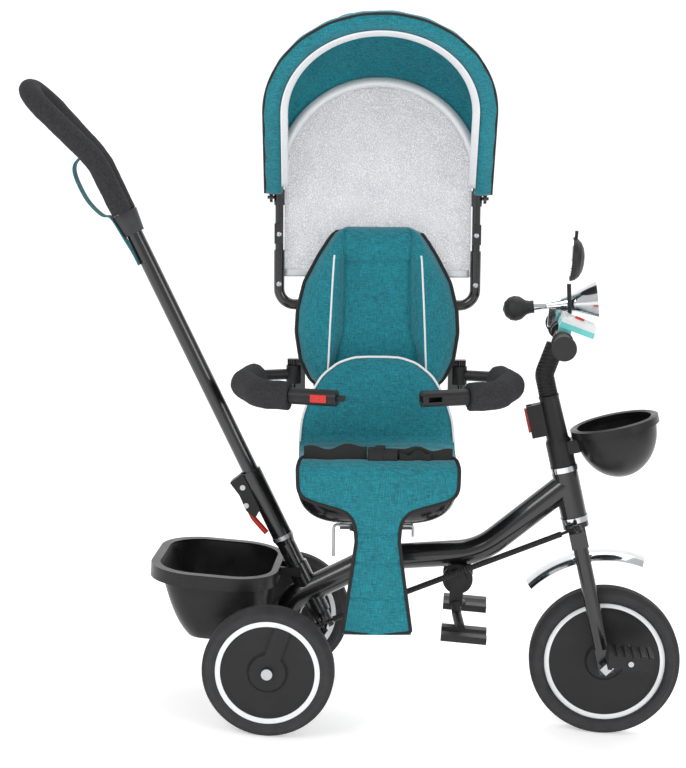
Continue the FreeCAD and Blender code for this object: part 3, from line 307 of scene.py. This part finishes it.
# Rubber: the gaiter on the stem, the handlebar grips and the horn's bulb.
soft_rubber = Finish("black_rubber", (0.012, 0.012, 0.012), Roughness=0.6)
soft_rubber.set(Roughness=soft_rubber.place.noise(80, 3) * 0.2 + 0.5)
soft_rubber.relief(soft_rubber.place.noise(1100, 2), 0.0003, 0.5)
soft_rubber.coat("handlebar_grips", "horn_bulb")
gaiter = Finish("ribbed_gaiter_rubber", (0.012, 0.012, 0.012), Roughness=0.55)
stem_run = gaiter.z * 0.956 - gaiter.x * 0.292
gaiter.set(Roughness=gaiter.place.noise(80, 3) * 0.2 + 0.45)
gaiter.relief(gaiter.x.math("SINE", stem_run * 1140), 0.0022, 1.0).coat("stem_cover")
link_low, link_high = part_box("steering_link")
link_slope = math.atan2(link_high[2] - link_low[2], link_high[0] - link_low[0])
tie_cover = Finish("ribbed_link_sleeve", (0.014, 0.014, 0.015), Roughness=0.5)
link_run = tie_cover.x * math.cos(link_slope) + tie_cover.z * math.sin(link_slope)
tie_cover.set(Roughness=tie_cover.place.noise(80, 3) * 0.2 + 0.4)
tie_cover.relief(tie_cover.x.math("SINE", link_run * 1250), 0.0016, 1.0).coat("steering_link")


# Foam sleeves on the push handle and the guard arms: dark grey closed-cell foam with a matt, finely
# pitted skin.
foam = Finish("dark_grey_foam", (0.028, 0.028, 0.03), Roughness=0.92, Specular_IOR_Level=0.2)
pits = foam.place.node("ShaderNodeTexVoronoi", {}, {"Vector": foam.place, "Scale": 620.0})
foam.set(Base_Color=(foam.place.noise(260, 4)).blend((0.014, 0.014, 0.015), (0.052, 0.052, 0.056)))
foam.relief(pits * 0.8 + foam.place.noise(900, 3) * 0.5, 0.0008, 0.8)
foam.coat("push_handle_foam", "arm_foam_left", "arm_foam_right")


# Teal cloth: a plain heather weave of two teal yarns, for the seat, the flap and the hood.
def heather(name, dark=(0.0, 0.075, 0.105), light=(0.002, 0.265, 0.325)):
    cloth = Finish(name, light, Roughness=0.88, Sheen_Weight=0.25, Sheen_Roughness=0.5)
    along = cloth.place.noise(420, 2, (0.22, 1, 2.4))
    over = cloth.place.noise(420, 2, (2.4, 1, 0.22))
    patch = cloth.place.noise(9, 3)
    mix = (along + over) * 1.5 - 1.0 + (patch - 0.5) * 0.35
    cloth.set(Base_Color=mix.blend(dark, light))
    return cloth.relief(along * 0.5 + over * 0.5 + cloth.place.noise(1500, 2) * 0.3, 0.0008, 0.6)


teal = heather("teal_heather_cloth")
seat_place = (Matrix.Translation((0.150, 0, 0.270)) @ Matrix.Rotation(math.radians(-4), 4, "Y")
              @ Matrix.Rotation(math.radians(4), 4, "Z") @ Matrix.Scale(0.001, 4))


def between(stops, place):
    """A value read off a table of (place, value) stops, in a straight line between them."""
    if place <= stops[0][0]:
        return stops[0][1]
    for (low, first), (high, last) in zip(stops, stops[1:]):
        if place <= high:
            share = (place - low) / (high - low)
            return first + (last - first) * share
    return stops[-1][1]


def path_at(path, along):
    """A point of a (along, depth, height) path in the seat's middle plane."""
    return Vector((0, between([(stop[0], stop[1]) for stop in path], along),
                   between([(stop[0], stop[2]) for stop in path], along)))


def sewn(name, rows, finish, closed=False, place=seat_place):
    """A piece from rows of points in millimetres, in the seat's frame or another.

    closed joins each row's ends and caps the first and last rows."""
    mesh = bpy.data.meshes.new(name)
    count = len(rows[0])
    corners = [place @ Vector(point) for row in rows for point in row]
    steps = count if closed else count - 1
    faces = [(row * count + step, row * count + (step + 1) % count,
              (row + 1) * count + (step + 1) % count, (row + 1) * count + step)
             for row in range(len(rows) - 1) for step in range(steps)]
    if closed:
        faces += [tuple(range(count))[::-1], tuple((len(rows) - 1) * count + step for step in range(count))]
    mesh.from_pydata(corners, [], faces)
    mesh.materials.append(finish.material)
    piece = bpy.data.objects.new(name, mesh)
    bpy.context.scene.collection.objects.link(piece)
    shape = bmesh.new()
    shape.from_mesh(mesh)
    bmesh.ops.recalc_face_normals(shape, faces=shape.faces)
    shape.to_mesh(mesh)
    shape.free()
    mesh.shade_smooth()
    return piece


def apply_modifiers(piece):
    bpy.ops.object.select_all(action="DESELECT")
    bpy.context.view_layer.objects.active = piece
    piece.select_set(True)
    for modifier in list(piece.modifiers):
        bpy.ops.object.modifier_apply(modifier=modifier.name)


def cording(name, points, radius, finish, cyclic=False):
    """A thin sewn cord or bound edge along points in the seat's frame."""
    line = bpy.data.curves.new(name, "CURVE")
    line.dimensions = "3D"
    line.bevel_depth = radius / 1000
    line.bevel_resolution = 3
    spline = line.splines.new("NURBS")
    spline.points.add(len(points) - 1)
    for spot, point in zip(spline.points, points):
        spot.co = (*(seat_place @ Vector(point)), 1)
    spline.order_u = 3
    spline.use_endpoint_u = not cyclic
    spline.use_cyclic_u = cyclic
    line.resolution_u = 2
    line.use_fill_caps = True
    bpy.ops.object.select_all(action="DESELECT")
    drawn = bpy.data.objects.new(name, line)
    bpy.context.scene.collection.objects.link(drawn)
    bpy.context.view_layer.update()
    mesh = bpy.data.meshes.new_from_object(drawn)
    bpy.data.objects.remove(drawn)
    mesh.name = name
    mesh.materials.clear()
    mesh.materials.append(finish.material)
    mesh.shade_smooth()
    piece = bpy.data.objects.new(name, mesh)
    bpy.context.scene.collection.objects.link(piece)
    return piece


# Backrest pad: foam sewn in a teal cover with a sunk middle, a head panel and two side bolsters.  Its
# edge is bound in black and a white cord runs down the crest of each bolster.
webbing = Finish("black_webbing", (0.012, 0.012, 0.012), Roughness=0.8)
webbing.relief(webbing.x.math("SINE", (webbing.x + webbing.z) * 3200), 0.0004, 0.5)
white_cord = Finish("white_cord", (0.8, 0.81, 0.82), Roughness=0.6)
white_cord.relief(white_cord.place.noise(900, 2), 0.0003, 0.4)
back_sides = [(262, 64), (272, 96), (285, 112), (318, 128), (362, 135), (400, 133), (445, 122), (490, 98),
              (515, 82), (528, 72), (537, 52)]
back_low, back_high = 262, 537


def back_front(height):
    """The leaning plane at the pad's front."""
    return 28 + (height - back_low) * math.tan(math.radians(8))


def crest_side(height):
    return between([(262, 84), (315, 81), (367, 79), (430, 76), (485, 73), (537, 66)], height)


def seam_side(height):
    return between([(262, 76), (330, 66), (362, 57), (430, 55), (537, 56)], height)


def bolster(side, height):
    """How far the pad's front stands off its back, in millimetres."""
    off = abs(side)
    half = between(back_sides, height)
    crest, seam = crest_side(height), seam_side(height)
    top_ease = min(1.0, (back_high - height) / 60)
    crown = 16 + 16 * top_ease * min(1.0, (height - back_low) / 30)
    middle = 12 + 5 * math.cos(min(1.0, off / seam) * math.pi / 2)
    if height > 478:
        middle += 7 * math.sin(min(1.0, (height - 478) / 50) * math.pi)
    groove = 3.5 * math.exp(-((off - seam) / 2.5) ** 2)
    if off < seam:
        groove += 3.0 * math.exp(-((height - 479) / 3.0) ** 2)
        depth = middle
    elif off < crest:
        share = (off - seam) / (crest - seam)
        depth = middle + (crown - middle) * math.sin(share * math.pi / 2)
    else:
        share = min(1.0, (off - crest) / (half - crest))
        depth = 9 + (crown - 9) * math.cos(share * math.pi / 2)
    rim = min(half - off, height - back_low, back_high - height)
    return (depth - groove) * min(1.0, max(0.0, rim) / 10) ** 0.5


rows = []
for step in range(89):
    height = back_low + (back_high - back_low) * step / 88
    half = between(back_sides, height)
    front = [(half * part / 48, back_front(height) + 30 - bolster(half * part / 48, height), height)
             for part in range(-48, 49)]
    back = [(half * part / 8, back_front(height) + 31, height) for part in range(8, -9, -1)]
    rows.append(front + back)
back_pad = sewn("backrest_pad", rows, teal, closed=True)
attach(back_pad, "seat")
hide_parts("back_cushion")
edge = [(side * between(back_sides, height), back_front(height) + 27, height)
        for side, heights in ((1, range(264, 536, 8)), (-1, range(532, 264, -8))) for height in heights]
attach(cording("backrest_binding", edge, 3.6, webbing, cyclic=True), "seat")
for side, word in ((-1, "right"), (1, "left")):
    line = []
    for height in range(300, 494, 6):
        crest = crest_side(height)
        line.append((side * crest, back_front(height) + 30.5 - bolster(crest, height), height))
    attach(cording(f"bolster_cord_{word}", line, 1.7, white_cord), "seat")

# Seat liner: one long padded panel that runs down the small of the back and forward over the seat, with
# a white cord round its arched top.
liner_path = [(0, 25, 326), (10, 22, 316), (30, 17, 296), (64, 9, 262), (101, 0, 225), (131, -9, 197),
              (150, -24, 184), (172, -45, 178), (220, -92, 176), (262, -134, 176), (282, -153, 171),
              (298, -160, 157)]
liner_sides = [(0, 34), (5, 52), (10, 66), (30, 92), (64, 113), (101, 125), (131, 128), (172, 128),
               (240, 127), (282, 124), (298, 116)]
liner_end = 298
rows = []
for step in range(85):
    along = liner_end * step / 84
    here = path_at(liner_path, along)
    run = (path_at(liner_path, along + 12) - path_at(liner_path, along - 12)).normalized()
    out = Vector((0, run.z, -run.y))
    half = between(liner_sides, along)
    front, back = [], []
    for part in range(-40, 41):
        side = half * part / 40
        rim = min(half - abs(side), along + 1, liner_end - along + 6)
        puff = min(1.0, max(0.0, rim) / 26)
        dip = 2.2 * math.exp(-((along - 140) / 9) ** 2) * (1 - (side / half) ** 2)
        height = (math.sin(puff * math.pi / 2) * 9 + 2 * math.cos(side / half * math.pi / 2)
                  - dip + 1.2 * math.sin(side * 0.045 + along * 0.03) * puff)
        spot = here + out * height
        front.append((side, spot.y, spot.z))
    for part in range(10, -11, -1):
        spot = here - out * 10
        back.append((half * part / 10 * 0.985, spot.y, spot.z))
    rows.append(front + back)
liner = sewn("seat_liner", rows, teal, closed=True)
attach(liner, "seat")
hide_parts("seat_cushion")
arch = []
for side in (-1, 1):
    spots = []
    for along in (140, 120, 101, 84, 64, 46, 30, 18, 10, 4, 0):
        spot = path_at(liner_path, along)
        spots.append((side * (between(liner_sides, along) - 1), spot.y - 3, spot.z + 2))
    arch += spots if side < 0 else spots[::-1]
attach(cording("liner_cord", arch, 2.0, white_cord), "seat")

# Leg flap: a thin padded tongue of the same cloth that starts as a wide lip over the seat's front edge
# and hangs between the legs, bound in black.
flap_path = [(0, -118, 189), (30, -148, 186), (44, -162, 178), (56, -167, 166), (76, -168, 146),
             (104, -168, 118), (132, -168, 90), (162, -168, 60), (222, -168, 0), (314, -168, -92)]
flap_sides = [(0, 110), (14, 122), (44, 128), (76, 127), (88, 123), (98, 108), (106, 76), (114, 52),
              (124, 41), (138, 36), (162, 34), (222, 42), (314, 55)]
rows = []
for step in range(106):
    along = 314 * step / 105
    spot = path_at(flap_path, along)
    half = between(flap_sides, along)
    quilt = sum(3.0 * math.exp(-((along - seam) / 2.6) ** 2) for seam in (150, 196, 254))
    rows.append([(half * part / 24, spot.y - 2.5 * math.cos(part / 24 * math.pi / 2) + quilt, spot.z)
                 for part in range(-24, 25)])
flap = sewn("leg_flap_cloth", rows, teal)
thick = flap.modifiers.new("quilting", "SOLIDIFY")
thick.thickness = 0.004
apply_modifiers(flap)
flap_edge = [(side * between(flap_sides, along), path_at(flap_path, along).y + 0.5,
              path_at(flap_path, along).z)
             for side, marks in ((-1, range(0, 316, 6)), (1, range(312, -2, -6))) for along in marks]
flap_binding = cording("leg_flap_binding", flap_edge, 3.0, webbing)
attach(flap, "seat")
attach(flap_binding, "seat")
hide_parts("leg_flap")
for piece in (flap, flap_binding):
    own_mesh(piece)

# Canopy hood: one curved sheet of the teal cloth from the rear hoop over a sewn rib to the front bow,
# slack and creased between them.
def rib(half, length, tilt, low, share):
    """A point on an arch of the hood; share runs from one foot over the top to the other."""
    straight = length - half - low
    total = 2 * straight + math.pi * half
    run = share * total
    if run < straight:
        side, rise = half, low + run
    elif run > total - straight:
        side, rise = -half, low + total - run
    else:
        turn = (run - straight) / half
        side, rise = half * math.cos(turn), low + straight + half * math.sin(turn)
    lean = math.radians(tilt)
    return Vector((side, 100 - rise * math.sin(lean), 585 + rise * math.cos(lean)))


hood_ribs = [(0, (174, 201, 1, 8)), (0.16, (183, 232, 4, 8)), (0.5, (187.5, 316, 16, 10)),
             (1, (187, 358, 33, 12))]


def hood_spot(along, share, inward=0.0):
    """A point of the hood's cloth, along from the rear hoop to the bow."""
    half, length, tilt, low = (between([(place, values[number]) for place, values in hood_ribs], along)
                               for number in range(4))
    return rib(half - inward, length - inward, tilt, low, share)


rows = []
for step in range(65):
    along = step / 64
    row = []
    for part in range(161):
        share = part / 160
        loose = math.sin(along * math.pi)
        hollow = 7 * math.sin(along * 2 * math.pi) ** 2 if along < 0.98 else 0
        crease = (2.6 * math.sin(share * 61 + 5 * along + 2 * math.sin(along * 9)) * loose
                  + 1.9 * math.sin(share * 23 - along * 17 + 1) * loose
                  + 1.2 * math.sin(share * 97 + along * 31 + 3 * math.sin(share * 14)) * loose)
        row.append(tuple(hood_spot(along, share, hollow + crease)))
    rows.append(row)
hood = sewn("canopy_cloth", rows, teal)
thick = hood.modifiers.new("cloth_thickness", "SOLIDIFY")
thick.thickness = 0.0016
apply_modifiers(hood)

# Hood front: a flat sleeve of the same cloth sewn round the bow, with a cord on its outer edge and a
# silver reflective strip along its inner edge.
bow_normal = Vector((0, -math.cos(math.radians(33)), -math.sin(math.radians(33))))


def bow_spot(outward, forward, share):
    """A point beside the bow: outward in the bow's plane, forward out of it."""
    return rib(187 + outward, 358 + outward, 33, 12, share) + bow_normal * forward


section = [(1, -6), (2, 0), (0, 6), (-13, 8.5), (-25, 7.5), (-28, 2), (-25, -4), (-12, -8)]
sleeve = sewn("bow_sleeve", [[tuple(bow_spot(outward + 0.7 * math.sin(step * 0.9), forward, step / 120))
                              for outward, forward in section] for step in range(121)],
              teal, closed=True)
front_cord = cording("bow_cord", [tuple(bow_spot(1.5, 4, step / 90)) for step in range(91)], 2.2, webbing)
shine = Finish("reflective_tape", (0.75, 0.76, 0.78), Roughness=0.35, Metallic=0.25)
cells = shine.place.node("ShaderNodeTexVoronoi", {}, {"Vector": shine.place, "Scale": 900.0})
shine.set(Base_Color=cells.blend((0.66, 0.67, 0.7), (0.9, 0.91, 0.92)))
shine.relief(cells, 0.0003, 0.4)
strip = sewn("reflective_strip", [[tuple(bow_spot(-26 - 3 * part, 8.5 - part * 0.8, 0.02 + 0.96 * step / 100))
                                   for part in range(5)] for step in range(101)], shine)
thick = strip.modifiers.new("tape_thickness", "SOLIDIFY")
thick.thickness = 0.0012
apply_modifiers(strip)
edge_tape = sewn("rear_hoop_sleeve", [[tuple(hood_spot(0.0, 0.03 + 0.94 * step / 100, inward))[:1]
                                       + (depth, hood_spot(0.0, 0.03 + 0.94 * step / 100, inward).z)
                                       for inward, depth in ((0, 97), (2, 92), (9, 90.5), (16, 92), (18, 98))]
                                      for step in range(101)], shine)
thick = edge_tape.modifiers.new("tape_thickness", "SOLIDIFY")
thick.thickness = 0.0012
apply_modifiers(edge_tape)
for piece in (sleeve, front_cord, strip):
    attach(piece, "canopy_front")
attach(edge_tape, "canopy")
seat_place @ hood_spot(0.05, 0.5)
seat_place @ hood_spot(0.97, 0.5)
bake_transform(hood)
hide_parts("canopy_hood")

# Net: a sheer pale panel stretched inside the rear hoop, with a silver hem along its lower edge.
net = Finish("sheer_net", (0.5, 0.51, 0.56), Roughness=0.7)
dots = net.place.node("ShaderNodeTexVoronoi", {}, {"Vector": net.place, "Scale": 520.0})
net.set(Alpha=dots.band(-0.1, 0.45, 0.08) * 0.3 + 0.36,
        Base_Color=net.place.noise(30, 3).blend((0.4, 0.41, 0.46), (0.62, 0.63, 0.67)))
rows = []
for step in range(61):
    height = 452 + (768 - 452) * step / 60
    half = 157 if height < 612 else math.sqrt(max(36.0, 157 ** 2 - (height - 612) ** 2))
    rows.append([(half * part / 30, 111 + 4 * math.cos(part / 30 * math.pi / 2) * math.sin(step / 60 * math.pi)
                  + 0.6 * math.sin(part * 0.9 + step * 0.2), height) for part in range(-30, 31)])
panel = sewn("net_panel", rows, net)
hem_rows = [[(side, 110.4 + 0.5 * math.sin(side * 0.09), height) for side in range(-157, 158, 6)]
            for height in (451, 455, 460, 464)]
hem = sewn("net_hem", hem_rows, shine)
for piece, thin in ((panel, 0.0005), (hem, 0.0018)):
    skin = piece.modifiers.new("net_thickness", "SOLIDIFY")
    skin.thickness = thin
    skin.offset = 0
    apply_modifiers(piece)
    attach(piece, "canopy")
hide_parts("canopy_mesh")

# Lap belt: two lengths of black webbing that lie slack over the seat and meet in a side-release buckle.
def webbing_run(name, first, last, height, depth, slack):
    rows = []
    for step in range(61):
        share = step / 60
        side = first + (last - first) * share
        lift = slack * math.sin(share * math.pi) * math.sin(share * 9 + first)
        roll = 0.25 * math.sin(share * 7 + last)
        rows.append([(side, depth + lift * 0.5 - roll * (part - 4) * 1.6, height + lift + 3.2 * (part - 4))
                     for part in range(9)])
    run = sewn(name, rows, webbing)
    thick = run.modifiers.new("web_thickness", "SOLIDIFY")
    thick.thickness = 0.0022
    apply_modifiers(run)
    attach(run, "seat")
    return run


belt = webbing_run("belt_right", -118, -18, 195, -139, 5.0)
webbing_run("belt_left", 30, 118, 192, -139, 4.0)
webbing_run("belt_tail", 34, 84, 186, -144, 5.0)
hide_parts("lap_belt")


def shaped_block(name, centre, size, finish, body, bevel=0.0025):
    """A moulding: a cube scaled, bevelled and smoothed in edit mode, moved to its place and frozen there."""
    bpy.ops.object.select_all(action="DESELECT")
    bpy.ops.mesh.primitive_cube_add(size=1)
    block = bpy.context.object
    block.name = name
    bpy.ops.object.mode_set(mode="EDIT")
    bpy.ops.mesh.select_all(action="SELECT")
    bpy.ops.transform.resize(value=[part / 1000 for part in size], center_override=(0, 0, 0))
    bpy.ops.mesh.bevel(offset=bevel, segments=3, affect="EDGES")
    bpy.ops.object.mode_set(mode="OBJECT")
    block.data.transform(seat_place @ Matrix.Translation(centre) @ Matrix.Scale(1000, 4))
    block.data.shade_smooth()
    block.data.materials.append(finish.material)
    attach(block, body)
    return block


buckle_black = black_moulding("buckle_black_plastic", (0.008, 0.008, 0.009), 0.35, 1200)
shaped_block("buckle_socket", (-4, -142, 194), (26, 9, 27), buckle_black, "seat")
shaped_block("buckle_tongue", (19, -142, 194), (24, 8, 23), buckle_black, "seat")
for name, place in (("buckle_lug_upper", (3, -142.5, 208)), ("buckle_lug_lower", (3, -142.5, 180.5))):
    shaped_block(name, place, (17, 7, 5), buckle_black, "seat", 0.0018)


# Foam sleeves and the strap: the sleeves are soft closed-cell tubes, a little uneven where they were
# pulled over the bends of the steel, and the strap is a loop of webbing under the push handle.
def soft_copy(name, source, body, finish, voxel, ripple):
    """A soft skin over a CAD node: its mesh joined up, remeshed, smoothed and gently dimpled."""
    skin = bpy.data.objects.new(name, nodes[source].data.copy())
    bpy.context.scene.collection.objects.link(skin)
    shape = bmesh.new()
    shape.from_mesh(skin.data)
    bmesh.ops.remove_doubles(shape, verts=shape.verts, dist=0.00002)
    shape.to_mesh(skin.data)
    shape.free()
    even = skin.modifiers.new("even", "REMESH")
    even.mode = "VOXEL"
    even.voxel_size = voxel
    ease = skin.modifiers.new("ease", "SMOOTH")
    ease.iterations = 6
    dimple = skin.modifiers.new("dimple", "DISPLACE")
    dimple.texture = bpy.data.textures.new(name, "CLOUDS")
    dimple.texture.noise_scale = 0.018
    dimple.texture_coords = "LOCAL"
    dimple.strength = ripple
    dimple.mid_level = 0.55
    apply_modifiers(skin)
    skin.data.materials.clear()
    skin.data.materials.append(finish.material)
    skin.data.shade_smooth()
    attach(skin, body)
    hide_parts(source)
    return skin


soft_copy("handle_sleeve", "push_handle_foam", "push_handle", foam, 0.0022, 0.0016)
soft_copy("arm_sleeve_left", "arm_foam_left", "left_arm", foam, 0.0022, 0.002)
soft_copy("arm_sleeve_right", "arm_foam_right", "right_arm", foam, 0.0022, 0.002)
push_place = (Matrix.Translation((0.0435, 0, 0.1962)) @ Matrix.Rotation(math.radians(-30), 4, "Y")
              @ Matrix.Scale(0.001, 4))
loop = [(-15, 612), (-17, 652), (-22, 699), (-35, 712), (-46, 746), (-47, 779), (-39, 804), (-18.5, 813)]
rows = []
for step in range(73):
    share = step / 72 * (len(loop) - 1)
    here, rest = min(int(share), len(loop) - 2), share - min(int(share), len(loop) - 2)
    spots = [Vector(loop[min(max(number, 0), len(loop) - 1)]) for number in range(here - 1, here + 3)]
    spot = 0.5 * (2 * spots[1] + (spots[2] - spots[0]) * rest
                  + (2 * spots[0] - 5 * spots[1] + 4 * spots[2] - spots[3]) * rest ** 2
                  + (3 * spots[1] - spots[0] - 3 * spots[2] + spots[3]) * rest ** 3)
    rows.append([(spot.x - 0.8 + 0.9 * math.cos(part * 0.8) + 0.5 * math.sin(step * 0.3), 3.4 * (part - 4), spot.y)
                 for part in range(9)])
strap = sewn("strap_loop", rows, teal, place=push_place)
thick = strap.modifiers.new("strap_thickness", "SOLIDIFY")
thick.thickness = 0.0018
thick.offset = 0
apply_modifiers(strap)
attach(strap, "push_handle")
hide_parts("wrist_strap")


# Rivets: small domed steel heads on the canopy clamps and the seat's sides.
bpy.ops.object.select_all(action="DESELECT")
bpy.ops.mesh.primitive_uv_sphere_add(segments=20, ring_count=12, radius=0.0045)
rivet = bpy.context.object
bpy.ops.object.mode_set(mode="EDIT")
bpy.ops.mesh.select_all(action="SELECT")
bpy.ops.transform.resize(value=(1, 0.5, 1), center_override=(0, 0, 0))
bpy.ops.object.mode_set(mode="OBJECT")
rivet.data.materials.append(zinc.material)
rivet.data.shade_smooth()
heads = [("rivet_hoop_left", (165, 88, 524), "canopy"), ("rivet_hoop_right", (-165, 88, 524), "canopy"),
         ("rivet_clamp_left", (165, 90.5, 440), "seat"), ("rivet_clamp_right", (-165, 90.5, 440), "seat")]
pattern = rivet.data.copy()
bpy.data.objects.remove(rivet)
for name, place, body in heads:
    head = bpy.data.objects.new(name, pattern.copy())
    bpy.context.scene.collection.objects.link(head)
    head.data.transform(seat_place @ Matrix.Translation(place) @ Matrix.Scale(1000, 4))
    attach(head, body)
